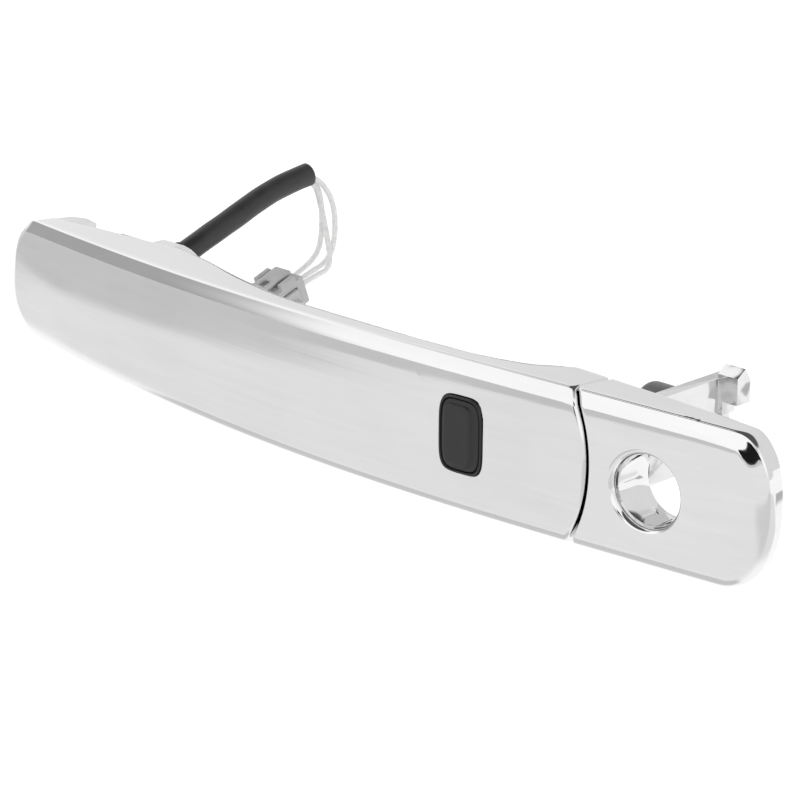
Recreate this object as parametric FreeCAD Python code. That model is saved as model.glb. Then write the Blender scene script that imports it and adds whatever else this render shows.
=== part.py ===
import FreeCAD, Part
import math, os

# Car door pull handle with a key cover, in millimetres.
# Layout coordinates while building: X runs from the hinge end (0) to the free
# end (245), Y runs into the door, Z is up.  At the end everything is shifted so
# that the origin lies on the key cylinder's axis, in the door skin's plane.

os.makedirs("parts", exist_ok=True)
V = FreeCAD.Vector

# ---- driving dimensions ----
KEY_X = 215.7          # key cylinder axis
KEY_Z = -1.7
KEY_R = 7.6            # key cylinder hole
SKIN_Y = 15.5          # door skin plane
HALF = 122.5
WALL = 2.2             # shell wall
SPLIT_R = 32.0         # the grip's free end is an arc of this radius
SPLIT_X = 201.0        # its furthest point
SPLIT_GAP = 0.7
CAP_END = 246.0
PIVOT_X = 9.0
PIVOT_Y = 25.0
PIVOT_R = 2.6
SW_X = 169.0           # request button
SW_Z = 0.4
SW_W = 11.6
SW_H = 17.2
SLEEVE_D = 5.8
WIRE_D = 1.4
ARM_T = 3.2            # cap arm plate

NAMES = []


def out(name, shape):
    s = shape.copy()
    s.translate(V(-KEY_X, -SKIN_Y, -KEY_Z))
    s.exportStep("parts/%s.step" % name)
    NAMES.append(name)
    b = s.BoundBox
    print("%-22s vol %9.1f solids %d valid %s  X %.1f %.1f Y %.1f %.1f Z %.1f %.1f" % (
        name, s.Volume, len(s.Solids), s.isValid(), b.XMin, b.XMax, b.YMin, b.YMax, b.ZMin, b.ZMax))


def lerp(table, x):
    if x <= table[0][0]:
        return table[0][1]
    for (a, p), (b, q) in zip(table, table[1:]):
        if x <= b:
            t = (x - a) / (b - a)
            return p + (q - p) * t
    return table[-1][1]


def bow(x):
    """The front rim line's depth along the handle."""
    s = (x - HALF) / HALF
    return 15.656 * s ** 2 + 1.530 * s - 2.226 * s ** 3 - 2.428 * s ** 4


def bow_slope(x):
    return (bow(x + 0.5) - bow(x - 0.5))


def top(x):
    s = (x - HALF) / HALF
    return 17.254 + 0.761 * s - 2.65 * s * s


def bottom(x):
    s = (x - HALF) / HALF
    return -(17.314 + 1.532 * s + 0.336 * s * s)


# rear edge of the chrome strip on top, and the rear line of the whole grip
STRIP = [(-5, 15.0), (60, 15.0), (66, 14.6), (74, 12.8), (85.5, 9.3), (94, 7.2), (103.5, 5.2),
         (112, 4.1), (124, 3.6), (143, 4.0), (155, 4.5), (166, 5.6), (173, 7.1), (180, 9.4),
         (184, 12.6), (187, 14.8), (189, 15.0), (260, 15.0)]
REAR = [(-5, 15.5), (62, 15.5), (68, 15.1), (76, 13.6), (86, 11.2), (96, 9.9), (106, 9.3),
        (124, 9.1), (145, 9.2), (158, 9.6), (168, 10.3), (175, 11.4), (181, 13.2),
        (186, 15.1), (189, 15.5), (260, 15.5)]
ROUND = [(-5, 0.5), (62, 0.5), (76, 3.0), (90, 6.0), (104, 7.0), (158, 7.0), (172, 5.0), (186, 0.8), (189, 0.5), (260, 0.5)]


def section(x, d, rear=None, dr=None):
    """Closed outline of the handle across X, inset by d, and by dr at the rear."""
    y0, zt, zb = bow(x), top(x), bottom(x)
    yb = (rear if rear is not None else lerp(REAR, x)) - (d if dr is None else dr)
    ys = min(rear - 0.5 if rear is not None else lerp(STRIP, x), yb - 0.5)
    r = 0.5 if rear is not None else lerp(ROUND, x)
    k = yb - ys
    p = [(y0 + 0.6 * d, zt - d),
         (y0 - 1.5 + 0.85 * d, zt - 0.7 - 0.8 * d),
         (y0 - 2.4 + d, zt - 2.2 - 0.6 * d),
         (y0 - 2.85 + d, zt - 7.0 - 0.4 * d),
         (y0 - 3.25 + d, 2.0),
         (y0 - 3.25 + d, -4.0),
         (y0 - 3.0 + d, zb + 7.0 + 0.4 * d),
         (y0 - 2.6 + d, zb + 3.2 + 0.6 * d),
         (y0 - 1.5 + 0.85 * d, zb + 1.0 + 0.8 * d),
         (y0 + 0.6 + 0.6 * d, zb + d),
         (ys, zb + 0.4 + d),
         (ys + 0.55 * k, zb + 0.4 + 0.22 * r + d),
         (ys + 0.88 * k, zb + 0.4 + 0.58 * r + d),
         (yb, zb + 0.6 + r + d),
         (yb, zt - 0.6 - r - d),
         (ys + 0.88 * k, zt - 0.4 - 0.58 * r - d),
         (ys + 0.55 * k, zt - 0.4 - 0.22 * r - d),
         (ys, zt - 0.4 - d)]
    p = [(min(a, ys - 0.25) if i < 10 else a, b) for i, (a, b) in enumerate(p)]
    return Part.makePolygon([V(x, a, b) for a, b in p] + [V(x, p[0][0], p[0][1])])


GRIP_X = [-4, 3.2, 8, 20, 32, 44, 54, 62, 68, 74, 80, 86, 92, 98, 104, 112, 124, 138, 150, 158, 166, 172, 177, 181, 185, 189, 196, 206]
CAP_X = [190, 196, 202, 208, 214, 220, 226, 232, 238, 244, 252]


def loft(stations, d, rear=None, dr=None):
    s = Part.makeLoft([section(x, d, rear, dr) for x in stations], True, True)
    if s.Volume < 0:
        s.reverse()
    return s


# outline of the hinge end, seen from the front
LEFT = [(40.0, 21.0), (28.0, 17.6), (19.9, 15.6), (14.2, 14.4), (10.0, 12.6), (6.4, 9.8), (4.0, 5.6), (2.7, 0.6),
        (2.2, -4.5), (3.0, -8.8), (5.2, -12.2), (8.8, -14.8), (13.6, -16.3), (20.4, -17.3), (30.0, -18.6), (40.0, -20.5)]
# outline of the cap's free end, seen from the front
RIGHT = [(220.0, 24.0), (228.0, 18.9), (233.5, 16.9), (237.6, 15.6), (240.8, 13.0), (242.9, 9.4), (244.0, 4.5), (244.2, -1.0),
         (243.8, -6.0), (242.6, -10.6), (240.6, -14.4), (237.6, -17.4), (233.0, -19.4), (227.0, -20.8), (220.0, -23.5)]


def inset_line(pts, d, side):
    """The polyline moved sideways by d."""
    res = []
    for i, (x, z) in enumerate(pts):
        a, b = pts[max(0, i - 1)], pts[min(len(pts) - 1, i + 1)]
        tx, tz = b[0] - a[0], b[1] - a[1]
        n = math.hypot(tx, tz)
        res.append((x - side * tz / n * d, z + side * tx / n * d))
    return res


def spline(pts):
    c = Part.BSplineCurve()
    c.interpolate([V(x, 0, z) for x, z in pts])
    return c.toShape()


def prism(edges, y0=-60, y1=80):
    w = Part.Wire(Part.__sortEdges__(edges))
    f = Part.Face(w)
    f.translate(V(0, y0, 0))
    return f.extrude(V(0, y1 - y0, 0))


def seg(a, b):
    return Part.makeLine(V(a[0], 0, a[1]), V(b[0], 0, b[1]))


def split_arc(gap):
    """Arc of the split line, at z from 24 to -24, moved towards the cap by gap."""
    r = SPLIT_R + gap
    cx = SPLIT_X - SPLIT_R
    z = 24.0
    x = cx + math.sqrt(r * r - z * z)
    return Part.Arc(V(x, 0, z), V(cx + r, 0, 0), V(x, 0, -z)).toShape(), x, z


def grip_outline(d):
    l = inset_line(LEFT, d, -1)
    if l[4][0] < LEFT[4][0]:
        l = inset_line(LEFT, d, 1)
    arc, x, z = split_arc(-d)
    return prism([spline(l), arc, seg(l[0], (l[0][0], 30)), seg((l[0][0], 30), (x, 30)), seg((x, 30), (x, z)),
                  seg((x, -z), (x, -30)), seg((x, -30), (l[-1][0], -30)), seg((l[-1][0], -30), l[-1])])


def cap_outline(d):
    l = inset_line(RIGHT, d, 1)
    if l[4][0] > RIGHT[4][0]:
        l = inset_line(RIGHT, d, -1)
    arc, x, z = split_arc(SPLIT_GAP + d)
    return prism([spline(l), arc, seg(l[0], (l[0][0], 30)), seg((l[0][0], 30), (x, 30)), seg((x, 30), (x, z)),
                  seg((x, -z), (x, -30)), seg((x, -30), (l[-1][0], -30)), seg((l[-1][0], -30), l[-1])])


def box(x0, x1, y0, y1, z0, z1):
    return Part.makeBox(x1 - x0, y1 - y0, z1 - z0, V(x0, y0, z0))


def cyl(r, h, at, axis=(0, 0, 1)):
    return Part.makeCylinder(r, h, V(*at), V(*axis))


def poly_prism_z(pts, z0, z1):
    w = Part.makePolygon([V(x, y, z0) for x, y in pts] + [V(pts[0][0], pts[0][1], z0)])
    return Part.Face(w).extrude(V(0, 0, z1 - z0))


def poly_prism_x(pts, x0, x1):
    w = Part.makePolygon([V(x0, y, z) for y, z in pts] + [V(x0, pts[0][0], pts[0][1])])
    return Part.Face(w).extrude(V(x1 - x0, 0, 0))


def band_z(table, off, y_far):
    """Everything between the plan line table (moved by off) and y_far."""
    pts = [(x, y + off) for x, y in table]
    return poly_prism_z(pts + [(table[-1][0], y_far), (table[0][0], y_far)], -40, 40)


def rounded_box(w, d, h, r):
    """Box w (X) by d (Y) by h (Z), corners rounded in the X-Z plane, centred in X and Z, from Y 0 to d."""
    x, z = w / 2.0, h / 2.0
    k = r * (1 - math.sqrt(0.5))
    e = [Part.makeLine(V(-x + r, 0, -z), V(x - r, 0, -z)),
         Part.Arc(V(x - r, 0, -z), V(x - k, 0, -z + k), V(x, 0, -z + r)).toShape(),
         Part.makeLine(V(x, 0, -z + r), V(x, 0, z - r)),
         Part.Arc(V(x, 0, z - r), V(x - k, 0, z - k), V(x - r, 0, z)).toShape(),
         Part.makeLine(V(x - r, 0, z), V(-x + r, 0, z)),
         Part.Arc(V(-x + r, 0, z), V(-x + k, 0, z - k), V(-x, 0, z - r)).toShape(),
         Part.makeLine(V(-x, 0, z - r), V(-x, 0, -z + r)),
         Part.Arc(V(-x, 0, -z + r), V(-x + k, 0, -z + k), V(-x + r, 0, -z)).toShape()]
    return Part.Face(Part.Wire(e)).extrude(V(0, d, 0))


# ---- request switch, built flat and then turned to the face ----
SW_SLOPE = math.atan(bow_slope(SW_X))
SW_FACE = bow(SW_X) - 3.25          # the grip's face behind the button's centre


def to_switch(shape, y=0.0):
    s = shape.copy()
    s.translate(V(0, y, 0))
    s.rotate(V(0, 0, 0), V(0, 0, 1), math.degrees(SW_SLOPE))
    s.translate(V(SW_X, SW_FACE, SW_Z))
    return s


# ---- grip ----
grip_outer = loft(GRIP_X, 0).common(grip_outline(0))
grip_inner = loft(GRIP_X[1:], WALL, None, -1.0).common(grip_outline(WALL))
grip_plug = loft(GRIP_X[1:], WALL + 0.1, None, 0.05).common(grip_outline(WALL + 0.1))
behind_strip = band_z(STRIP, 0.0, 60)

# inner front line of the base: a plate at the feet, further forward along the grip
BASE_FRONT = [(x, min(y - 2.4, 12.6)) for x, y in STRIP]
switch_hole = to_switch(rounded_box(SW_W + 0.1, 8, SW_H + 0.1, 3.6), -3)

cover = grip_outer.cut(behind_strip.common(box(62, 188.5, -40, 60, -40, 40))).cut(grip_inner)
cover = cover.cut(switch_hole)

# screw bosses inside the cover
BOSS = [(33.0, 4.0), (66.5, -6.0), (150.4, -5.0), (193.0, 11.6)]

back_part = grip_outer.common(band_z(STRIP, 0.05, 60)).common(box(62.05, 188.45, -40, 60, -40, 40))
plug_part = grip_plug.common(band_z(BASE_FRONT, 0.0, 60))
base = back_part.fuse(plug_part)
hollow = loft(GRIP_X[3:-1], WALL + 1.5, None, WALL).common(box(72, 178, -20, 40, -40, 40)).common(band_z(BASE_FRONT, -1.0, 60))
base = base.cut(hollow)
bosses = None
for bx, bz in BOSS:
    yf = bow(bx) - 3.25 + WALL
    yb_in = lerp(BASE_FRONT, bx) if not 72 < bx < 178 else lerp(REAR, bx) - WALL
    b = cyl(2.6, yb_in - 0.05 - yf + 0.6, (bx, yf - 0.6, bz), (0, 1, 0))
    bosses = b if bosses is None else bosses.fuse(b)
cover = cover.fuse(bosses)
screws = []
for bx, bz in BOSS:
    yr = lerp(REAR, bx)
    yb_in = lerp(BASE_FRONT, bx) if not 72 < bx < 178 else yr - WALL
    yf = bow(bx) - 3.25 + WALL
    depth = min(6.5, yb_in - yf - 0.5)
    base = base.cut(cyl(1.6, 30, (bx, yb_in - 1, bz), (0, 1, 0)))
    base = base.cut(cyl(2.9, 20, (bx, yr - 1.0, bz), (0, 1, 0)))
    cover = cover.cut(cyl(1.25, depth, (bx, yb_in - 0.05 - depth, bz), (0, 1, 0)))
    shank = cyl(1.25, depth + (yr - 1.0 - yb_in) + 0.05, (bx, yb_in - 0.05 - depth + 0.02, bz), (0, 1, 0))
    head = cyl(2.6, 0.9, (bx, yr - 1.0 + 0.02, bz), (0, 1, 0))
    s = shank.fuse(head)
    s = s.cut(box(bx - 1.6, bx + 1.6, yr - 0.5, yr + 1, bz - 0.35, bz + 0.35)).cut(box(bx - 0.35, bx + 0.35, yr - 0.5, yr + 1, bz - 1.6, bz + 1.6))
    screws.append(s)

# hinge lug: a hook that reaches through the door skin to the pivot
lug = poly_prism_z([(10.5, 15.0), (25.5, 15.0), (22.5, 20.5), (18.0, 25.6), (14.0, 29.4), (9.0, 30.6), (5.0, 29.0), (3.4, 25.5),
                    (4.0, 22.0), (7.0, 19.4)], -10.0, 9.6)
lug = lug.cut(poly_prism_z([(13.8, 19.0), (20.5, 19.0), (17.2, 23.6), (15.2, 25.0), (14.0, 21.6)], -11, -3.0))
lug = lug.cut(poly_prism_z([(13.8, 19.0), (20.5, 19.0), (17.2, 23.6), (15.2, 25.0), (14.0, 21.6)], -1.4, 7.0))
base = base.fuse(lug)
base = base.cut(cyl(PIVOT_R, 28, (PIVOT_X, PIVOT_Y, -20)))

# cable boss
BOSS_X0, BOSS_X1 = 40.0, 57.5
boss = poly_prism_x([(15.45, -9.0), (15.45, 15.2), (18.0, 15.3), (20.2, 14.8), (22.3, 13.4), (24.1, 11.7), (25.3, 9.6), (25.7, 7.4),
                     (25.4, -5.0), (23.0, -9.0)], BOSS_X0, BOSS_X1)
boss = boss.fuse(box(BOSS_X0, BOSS_X1, 13.0, 15.6, -9.0, 12.0))
boss = boss.cut(poly_prism_z([(BOSS_X0 - 1, 15.55), (BOSS_X0 + 0.2, 15.55), (46.6, 27.0), (BOSS_X0 - 1, 27.0)], -20, 30))
ramp = Part.makePolygon([V(BOSS_X0 - 1, 15.55, 9.0), V(BOSS_X0 + 0.2, 15.55, 9.0), V(51.5, 15.55, 15.4), V(51.5, 15.55, 20.0),
                         V(BOSS_X0 - 1, 15.55, 20.0), V(BOSS_X0 - 1, 15.55, 9.0)])
boss = boss.cut(Part.Face(ramp).extrude(V(0, 20, 0)))
base = base.fuse(boss).cut(box(BOSS_X0 + 2, BOSS_X1 - 2, 10, 16.8, -7, 8)).cut(box(BOSS_X0 + 6.5, BOSS_X1 - 2, 10, 16.8, 7.9, 10))

# cable exit in the boss, up and into the door
EXIT = V(52.0, 23.6, 10.2)
EXIT_DIR = V(0, 0.93, 0.37)
EXIT_DIR.normalize()
grom_r = 3.9
hole = Part.makeCylinder(grom_r, 12, EXIT - EXIT_DIR * 7.0, EXIT_DIR)
base = base.cut(hole)
# opening for the pull arm
base = base.cut(box(189.1, 196.3, 9, 17, -6.1, 4.1))
for z in (6.3, -8.3):
    base = base.cut(cyl(1.3, 8.0, (192.7, 8.0, z), (0, 1, 0)))
cover = cover.removeSplitter()
base = base.cut(cover).removeSplitter()
out("grip_cover", cover)
out("grip_base", base)
out("cover_screws", Part.makeCompound(screws))

# ---- cable grommet, in the boss ----
grommet = Part.makeCylinder(grom_r - 0.05, 5.2, EXIT - EXIT_DIR * 5.6, EXIT_DIR)
grommet = grommet.fuse(Part.makeCone(grom_r - 0.05, 3.3, 1.8, EXIT - EXIT_DIR * 0.4, EXIT_DIR))
grommet = grommet.cut(Part.makeCylinder(SLEEVE_D / 2 + 0.02, 12, EXIT - EXIT_DIR * 6, EXIT_DIR))
out("cable_grommet", grommet)


# ---- cord routes ----
def route(points, dia, name):
    """Tube along straight runs joined by tangent arcs."""
    P = [V(*p) for p in points]
    edges, at, length, radii = [], P[0], 0.0, []
    for i in range(1, len(P) - 1):
        a, b = P[i] - P[i - 1], P[i + 1] - P[i]
        la, lb = a.Length, b.Length
        a.normalize()
        b.normalize()
        turn = a.getAngle(b)
        r = 0.45 * min(la, lb) / math.tan(turn / 2)
        t = r * math.tan(turn / 2)
        p0, p1 = P[i] - a * t, P[i] + b * t
        bis = (b - a)
        bis.normalize()
        centre = P[i] + bis * (r / math.cos(turn / 2))
        mid = centre - bis * r
        if (p0 - at).Length > 1e-6:
            edges.append(Part.LineSegment(at, p0).toShape())
            length += (p0 - at).Length
        edges.append(Part.Arc(p0, mid, p1).toShape())
        length += r * turn
        radii.append(round(r, 1))
        at = p1
    edges.append(Part.LineSegment(at, P[-1]).toShape())
    length += (P[-1] - at).Length
    w = Part.Wire(edges)
    d = P[1] - P[0]
    d.normalize()
    prof = Part.Wire([Part.makeCircle(dia / 2, P[0], d)])
    s = w.makePipeShell([prof], True, False)
    print(name, "length %.1f radii %s volume ratio %.4f" % (length, radii, s.Volume / (math.pi * dia * dia / 4 * length)))
    return s


SLEEVE = [tuple(EXIT - EXIT_DIR * 5.4), (52.0, 30.2, 12.8), (52.1, 40.2, 16.2), (52.2, 50.4, 20.1), (52.2, 58.6, 22.0), (52.2, 65.6, 22.8)]
sleeve_end = V(*SLEEVE[-1])
sleeve = route(SLEEVE, SLEEVE_D, "harness_sleeve")
d = V(*SLEEVE[-1]) - V(*SLEEVE[-2])
d.normalize()
bore = Part.makeCylinder(SLEEVE_D / 2 - 0.6, 4.0, sleeve_end - d * 3.0, d)
sleeve = sleeve.cut(bore)
out("harness_sleeve", sleeve)

# ---- plug on the wires ----
CON = V(61.2, 46.2, -2.0)
TILT = 20.0
PLUG = 0.76             # the plug's boxes below are drawn larger and scaled by this


def to_plug(shape):
    s = shape.copy()
    s.scale(PLUG, V(0, 0, 0))
    s.rotate(V(0, 0, 0), V(1, 0, 0), TILT)
    s.translate(CON)
    return s


def plug_point(x, y, z):
    a = math.radians(TILT)
    x, y, z = PLUG * x, PLUG * y, PLUG * z
    return (CON.x + x, CON.y + y * math.cos(a) - z * math.sin(a), CON.z + y * math.sin(a) + z * math.cos(a))


house = box(-6.5, 6.5, -9.0, 7.5, -5.5, 4.0)
house = house.cut(box(-5.0, 5.0, -10.0, 0.0, -4.2, 2.6))
for cx in (-3.2, 0.0, 3.2):
    house = house.cut(box(cx - 1.1, cx + 1.1, -1.0, 8.0, -2.2, 0.4))
house = house.fuse(box(-6.5, -4.6, -2.0, 4.5, 4.0, 6.0)).fuse(box(4.6, 6.5, -2.0, 4.5, 4.0, 6.0))
house = house.fuse(box(-1.4, 1.4, 3.4, 6.0, 3.9, 4.95))
house = house.cut(box(5.2, 7.0, -3.0, 4.2, -3.2, 1.8))
out("connector_housing", to_plug(house.removeSplitter()))

LEVER = V(*plug_point(0.0, 5.0, 5.7))
lever = box(-3.6, 3.6, -8.6, 5.9, 5.35, 6.55)
lever = lever.fuse(box(-3.6, 3.6, -8.6, -6.2, 6.4, 8.0))
lever = lever.cut(box(-1.5, 1.5, -5.0, -1.5, 5.0, 7.0))
out("connector_lock_lever", to_plug(lever.removeSplitter()))

retainer = box(5.25, 7.4, -2.6, 3.8, -2.8, 1.4).fuse(box(7.0, 9.6, -0.8, 3.0, -2.8, -1.7))
out("connector_retainer", to_plug(retainer.removeSplitter()))

terms = []
for cx in (-3.2, 0.0, 3.2):
    t = box(cx - 0.9, cx + 0.9, 0.2, 5.0, -1.9, 0.1).cut(box(cx - 0.6, cx + 0.6, 0.0, 4.4, -1.6, -0.2))
    t = t.fuse(box(cx - 0.32, cx + 0.32, -7.4, 0.6, -1.9, -1.25))
    terms.append(to_plug(t.removeSplitter()))
out("connector_terminals", Part.makeCompound(terms))

# ---- wires ----
tip = sleeve_end - d * 2.9
side = V(1, 0, 0)
up = side.cross(d)
WIRES = []
for k, (ox, oz, p1, p2, p3, p4, p5, cx) in enumerate([
        (-0.85, 0.45, (51.6, 66.9, 22.6), (52.6, 69.6, 17.2), (55.4, 67.4, 9.4), (57.4, 64.0, 3.6), (58.7, 58.8, 0.4), -3.2),
        (0.85, 0.45, (53.2, 67.4, 22.4), (55.8, 70.8, 16.2), (58.9, 68.7, 8.4), (60.5, 64.8, 2.5), (61.1, 59.2, 0.0), 0.0),
        (0.0, -0.95, (52.3, 67.5, 21.2), (53.8, 68.4, 14.8), (58.8, 65.9, 7.6), (63.5, 62.7, 1.7), (64.0, 58.4, -0.3), 3.2)]):
    start = tip + side * ox + up * oz
    enter = plug_point(cx, 5.05, -0.9)
    before = plug_point(cx, 13.0, -0.9)
    WIRES.append([tuple(start), p1, p2, p3, p4, before, enter])
for k, w in enumerate(WIRES):
    print("wire", "abc"[k], [tuple(round(c, 2) for c in p) for p in w])
    out("harness_wire_" + "abc"[k], route(w, WIRE_D, "wire_" + "abc"[k]))

# ---- request switch ----
bezel = rounded_box(SW_W, 3.4, SW_H, 3.6).cut(rounded_box(SW_W - 2.0, 8, SW_H - 2.0, 2.7).translated(V(0, -1, 0)))
bezel = bezel.fuse(rounded_box(SW_W + 2.4, 0.8, SW_H + 2.4, 4.4).translated(V(0, 3.1, 0)).cut(rounded_box(SW_W - 2.0, 8, SW_H - 2.0, 2.7).translated(V(0, -1, 0))))
out("switch_bezel", to_switch(bezel.removeSplitter(), -0.35))
button = rounded_box(SW_W - 2.7, 2.0, SW_H - 2.7, 2.35)
button = button.fuse(rounded_box(SW_W - 4.8, 0.5, SW_H - 5.2, 1.2).translated(V(0, -0.45, 0)))
button = button.fuse(Part.makeCylinder(1.0, 1.7, V(0, 1.8, 0), V(0, 1, 0)))
out("switch_button", to_switch(button.removeSplitter(), -0.1))
seal = rounded_box(SW_W + 1.6, 0.45, SW_H + 1.6, 4.0).cut(Part.makeCylinder(1.6, 3, V(0, -1, 0), V(0, 1, 0)))
out("switch_seal", to_switch(seal, 3.57))
swh = rounded_box(6.4, 2.5, 6.4, 0.6).cut(Part.makeCylinder(1.4, 2.3, V(0, -0.5, 0), V(0, 1, 0)))
out("switch_housing", to_switch(swh, 4.33))
plunger = Part.makeCylinder(0.9, 1.0, V(0, 0, 0), V(0, 1, 0))
out("switch_plunger", to_switch(plunger, 3.72))
pcb = rounded_box(11.0, 1.0, 20.0, 1.0).cut(Part.makeCylinder(0.9, 3, V(-3.6, -1, 7.6), V(0, 1, 0)))
out("circuit_board", to_switch(pcb, 6.85))

# ---- key antenna ----
ANT_Y = 4.66
bob = box(92, 146, ANT_Y - 2.2, ANT_Y + 2.2, -6.2, 6.2).cut(box(91, 147, ANT_Y - 1.35, ANT_Y + 1.35, -4.2, 4.2))
bob = bob.cut(box(98, 140, ANT_Y - 3, ANT_Y + 3, -7, 7).cut(box(97, 141, ANT_Y - 1.75, ANT_Y + 1.75, -5.0, 5.0)))
out("antenna_bobbin", bob.removeSplitter())
out("antenna_core", box(92.5, 145.5, ANT_Y - 1.3, ANT_Y + 1.3, -4.15, 4.15))
coil = box(98.1, 139.9, ANT_Y - 2.15, ANT_Y + 2.15, -5.7, 5.7).cut(box(98, 140, ANT_Y - 1.77, ANT_Y + 1.77, -5.02, 5.02))
out("antenna_coil", coil)

# ---- leads inside the grip, from the board to the cable boss ----
leads = []
for k in range(3):
    z, z2 = 7.4 + 1.25 * k, 4.6 + 1.3 * k
    P = [V(164.5, 5.1, z), V(150.0, 4.4, z), V(92.0, 4.4, z), V(60.0, 10.6, z2), V(54.0, 11.4, z2), V(52.0, 16.1, 6.3 + 1.25 * k)]
    s = None
    for a, b in zip(P, P[1:]):
        v = b - a
        c = Part.makeCylinder(0.55, v.Length, a, v)
        s = c if s is None else s.fuse(c).fuse(Part.makeSphere(0.55, a))
    leads.append(s.removeSplitter())
out("inner_leads", Part.makeCompound(leads))

# ---- pull arm ----
arm = box(188.6, 196.4, 10.0, 12.5, -10.6, 8.6)
arm = arm.fuse(box(189.2, 196.2, 12.0, 36.0, -6.0, 4.0))
arm = arm.fuse(box(189.2, 196.2, 28.0, 36.0, -6.0, 6.0))
head = Part.makeCylinder(5.6, 9.4, V(188.6, 36.5, 3.4), V(1, 0, 0))
head = head.makeFillet(2.2, head.Edges)
arm = arm.fuse(head)
arm = arm.cut(cyl(1.3, 6.0, (192.7, 9.0, 6.3), (0, 1, 0))).cut(cyl(1.3, 6.0, (192.7, 9.0, -8.3), (0, 1, 0)))
out("pull_arm", arm.removeSplitter())
arm_screws = []
for z in (6.3, -8.3):
    arm_screws.append(cyl(1.25, 5.2, (192.7, 9.9, z), (0, 1, 0)).fuse(cyl(2.2, 1.2, (192.7, 8.75, z), (0, 1, 0))))
out("arm_screws", Part.makeCompound(arm_screws))

# ---- cap ----
cap_outer = loft(CAP_X, 0, SKIN_Y).common(cap_outline(0))
cap_inner = loft(CAP_X, WALL, SKIN_Y + 4).common(cap_outline(WALL))
cap = cap_outer.cut(cap_inner)
tube = cyl(KEY_R + 2.0, 12.0, (KEY_X, SKIN_Y - 12.0, KEY_Z), (0, 1, 0))
tube = tube.common(cap_outer)
cap = cap.fuse(tube)
cap = cap.cut(cyl(KEY_R, 60, (KEY_X, -20, KEY_Z), (0, 1, 0)))
y_lip = bow(KEY_X) - 3.25
cap = cap.cut(Part.makeCone(KEY_R + 1.6, KEY_R, 1.6, V(KEY_X, y_lip - 0.3, KEY_Z), V(0, 1, 0)))
out("cap_cover", cap.removeSplitter())

frame = loft(CAP_X, WALL + 0.1, SKIN_Y + 4).common(cap_outline(WALL + 0.1)).common(box(190, 260, 12.9, SKIN_Y, -40, 40))
frame = frame.cut(cyl(KEY_R + 2.1, 40, (KEY_X, 0, KEY_Z), (0, 1, 0)))
ax0, ax1 = 203.4, 203.4 + ARM_T
bar = box(ax0, ax1, 13.0, SKIN_Y + 0.1, -5.8, 12.9).common(cap_outline(WALL + 0.1)).fuse(box(ax0, ax1, SKIN_Y + 0.05, 43.0, -5.8, 12.9))
bar = bar.cut(cyl(KEY_R + 2.1, SKIN_Y, (KEY_X, 0, KEY_Z), (0, 1, 0)))
frame = frame.fuse(bar)
hook = poly_prism_x([(39.0, 8.0), (39.0, 14.0), (41.5, 15.7), (43.3, 12.9), (43.3, 8.0)], ax1 - 0.2, ax1 + 5.2)
hook = hook.fuse(poly_prism_x([(39.0, 5.0), (39.0, 8.1), (43.3, 8.1), (43.3, 5.0)], ax1 - 0.2, ax1 + 1.2))
frame = frame.fuse(hook)
out("cap_frame", frame.removeSplitter())

# ---- gaskets behind the rims ----
gas = cap_outline(3.4).common(box(180, 260, SKIN_Y, SKIN_Y + 0.8, bottom(222) + 3.6, top(222) - 3.6))
gas = gas.cut(cap_outline(5.9).common(box(180, 260, SKIN_Y - 1, SKIN_Y + 2, bottom(222) + 6.1, top(222) - 6.1)))
gas = gas.cut(box(ax0 - 0.1, ax1 + 0.1, 10, 20, -40, 40).common(box(0, 300, 0, 40, -5.9, 13.0)))
out("cap_gasket", gas)
foot = grip_outline(3.6).common(box(0, 61.5, SKIN_Y + 0.02, SKIN_Y + 0.8, bottom(30) + 3.8, top(30) - 3.2))
foot = foot.cut(lug).cut(boss).cut(cyl(3.0, 30, (33.0, 0, 4.0), (0, 1, 0)))
foot = sorted(foot.Solids, key=lambda q: -q.Volume)[0]
out("foot_gasket", foot)
print(len(NAMES), "nodes")
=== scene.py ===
import math

import bmesh
import bpy
import numpy as np
from mathutils import Matrix, Vector


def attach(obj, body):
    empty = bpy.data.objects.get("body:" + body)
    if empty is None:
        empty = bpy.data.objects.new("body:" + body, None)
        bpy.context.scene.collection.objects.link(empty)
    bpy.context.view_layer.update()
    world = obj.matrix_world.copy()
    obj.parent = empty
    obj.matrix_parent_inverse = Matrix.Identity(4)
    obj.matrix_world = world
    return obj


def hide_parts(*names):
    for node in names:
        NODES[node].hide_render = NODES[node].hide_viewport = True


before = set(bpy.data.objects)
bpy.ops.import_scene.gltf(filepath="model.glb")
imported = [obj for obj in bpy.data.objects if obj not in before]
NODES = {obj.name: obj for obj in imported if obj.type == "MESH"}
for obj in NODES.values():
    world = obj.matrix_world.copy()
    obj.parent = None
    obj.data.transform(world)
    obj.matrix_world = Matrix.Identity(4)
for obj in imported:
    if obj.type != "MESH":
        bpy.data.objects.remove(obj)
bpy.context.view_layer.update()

# Lengths below are in millimetres in the layout frame that the shape is drawn in:
# X from the hinge end, Y into the door, Z up. ROW turns them into the row frame in metres.
KEY = np.array([215.7, 15.5, -1.7])


def ROW(p):
    return (np.asarray(p, float) - KEY) / 1000.0


def link(o):
    bpy.context.scene.collection.objects.link(o)
    return o


# ------------------------------------------------------------------ shape laws
def bow(x):
    s = (x - 122.5) / 122.5
    return 15.656 * s ** 2 + 1.530 * s - 2.226 * s ** 3 - 2.428 * s ** 4


def top(x):
    s = (x - 122.5) / 122.5
    return 17.254 + 0.761 * s - 2.65 * s * s


def bottom(x):
    s = (x - 122.5) / 122.5
    return -(17.314 + 1.532 * s + 0.336 * s * s)


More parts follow.
